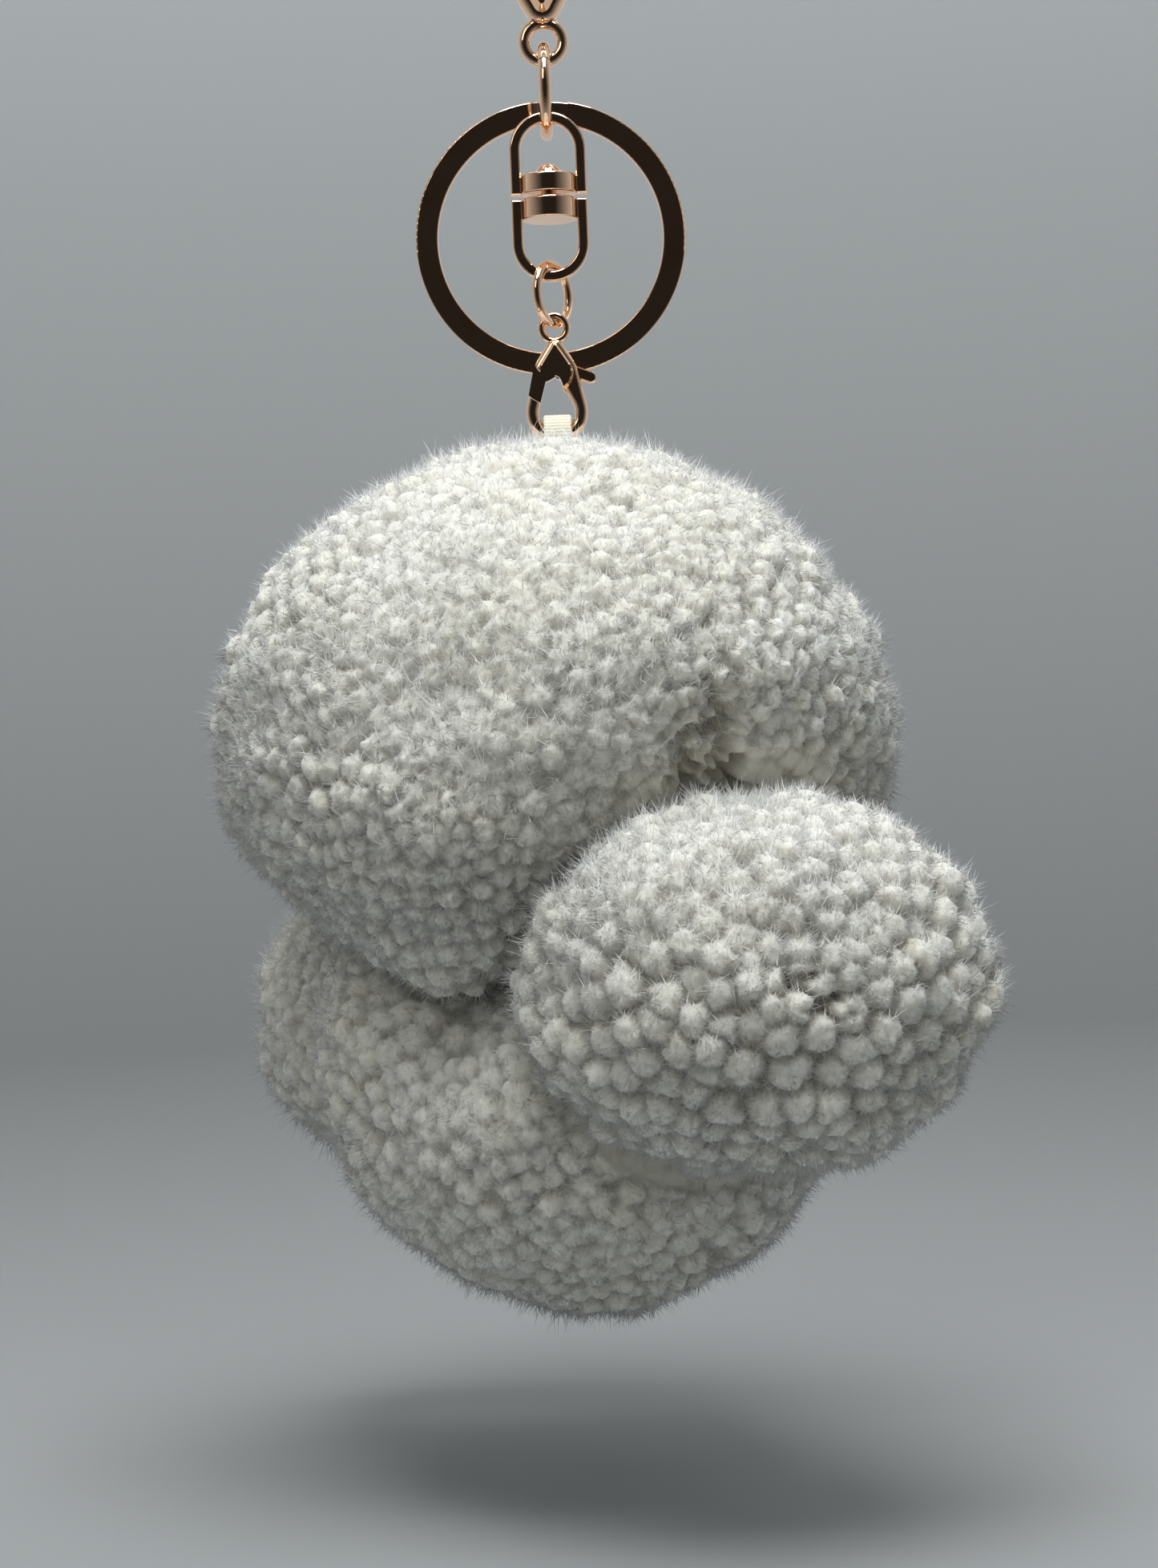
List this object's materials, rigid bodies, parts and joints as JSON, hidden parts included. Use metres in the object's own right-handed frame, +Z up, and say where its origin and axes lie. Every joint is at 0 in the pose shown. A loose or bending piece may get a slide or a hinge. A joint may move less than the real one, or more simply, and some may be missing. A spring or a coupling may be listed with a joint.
{
  "type": "plush keychain",
  "caption": "Plush keychain: a cluster of trimmed white yarn pompoms hanging by an elastic loop from a small lobster clasp, under a swivel, a flat split ring and a large lobster clasp.",
  "frame": {"origin": "centre of the large clasp's hook opening", "axes": "+Z up along the hanging chain, towards the large clasp; +Y from the front of the keychain to its back; +X to the right seen from the front"},
  "size_m": [0.0797, 0.09, 0.1684],
  "materials": {
    "plated_metal": "polished",
    "spring_wire": "satin",
    "white_yarn": "matte",
    "tie_cord": "matte",
    "cream_elastic": "matte"
  },
  "bodies": {
    "upper_clasp": {"upper_clasp_body": "plated_metal", "upper_clasp_pin": "plated_metal", "upper_clasp_spring": "spring_wire"},
    "upper_gate": {"upper_clasp_gate": "plated_metal"},
    "top_link": {"top_jump_ring": "plated_metal"},
    "key_ring": {"split_ring": "plated_metal"},
    "swivel_top": {"swivel_upper_shackle": "plated_metal"},
    "swivel_bottom": {"swivel_lower_shackle": "plated_metal", "swivel_rivet": "plated_metal"},
    "bottom_link": {"bottom_jump_ring": "plated_metal"},
    "lower_clasp": {"lower_clasp_body": "plated_metal", "lower_clasp_pin": "plated_metal", "lower_clasp_spring": "spring_wire"},
    "lower_gate": {"lower_clasp_gate": "plated_metal"},
    "plush": {"hanging_loop": "cream_elastic", "crown_pompom": "white_yarn", "front_pompom": "white_yarn", "rear_pompom": "white_yarn", "bottom_pompom": "white_yarn", "crown_tie_cord": "tie_cord", "front_tie_cord": "tie_cord", "rear_tie_cord": "tie_cord", "bottom_tie_cord": "tie_cord", "joining_threads": "tie_cord"}
  },
  "joints": [
    {"name": "upper_gate_hinge", "type": "hinge", "parent": "upper_clasp", "child": "upper_gate", "pos_m": [0, 0, -0.01], "axis": [0, -1, 0], "range_deg": [0, 20], "stiffness_Nm_per_rad": 0.02, "springref_deg": -20.05},
    {"name": "top_link_swing", "type": "hinge", "parent": "upper_clasp", "child": "top_link", "pos_m": [0, 0, -0.02151], "axis": [1, 0, 0], "range_deg": [-45, 45]},
    {"name": "key_ring_swing", "type": "hinge", "parent": "top_link", "child": "key_ring", "pos_m": [0, 0.0012, -0.02947], "axis": [0, 0.9903, 0.1392], "range_deg": [-10, 10]},
    {"name": "swivel_swing", "type": "hinge", "parent": "top_link", "child": "swivel_top", "pos_m": [0, -0.0008, -0.02947], "axis": [0, 1, 0], "range_deg": [-25, 25]},
    {"name": "swivel_spin", "type": "hinge", "parent": "swivel_top", "child": "swivel_bottom", "pos_m": [0, -0.0008, -0.037], "axis": [0, 0, 1], "continuous": true},
    {"name": "bottom_link_swing", "type": "hinge", "parent": "swivel_bottom", "child": "bottom_link", "pos_m": [0, -0.0008, -0.04539], "axis": [1, 0, 0], "range_deg": [-30, 8]},
    {"name": "lower_clasp_swing", "type": "hinge", "parent": "bottom_link", "child": "lower_clasp", "pos_m": [0, -0.0008, -0.0506], "axis": [0.5299, 0.848, 0], "range_deg": [-12, 12]},
    {"name": "lower_gate_hinge", "type": "hinge", "parent": "lower_clasp", "child": "lower_gate", "pos_m": [0, -0.0008, -0.05517], "axis": [0, -1, 0], "range_deg": [0, 20], "stiffness_Nm_per_rad": 0.004, "springref_deg": -20.05},
    {"name": "plush_swing", "type": "hinge", "parent": "lower_clasp", "child": "plush", "pos_m": [0, -0.0008, -0.06307], "axis": [1, 0, 0], "range_deg": [-35, 35]}
  ]
}
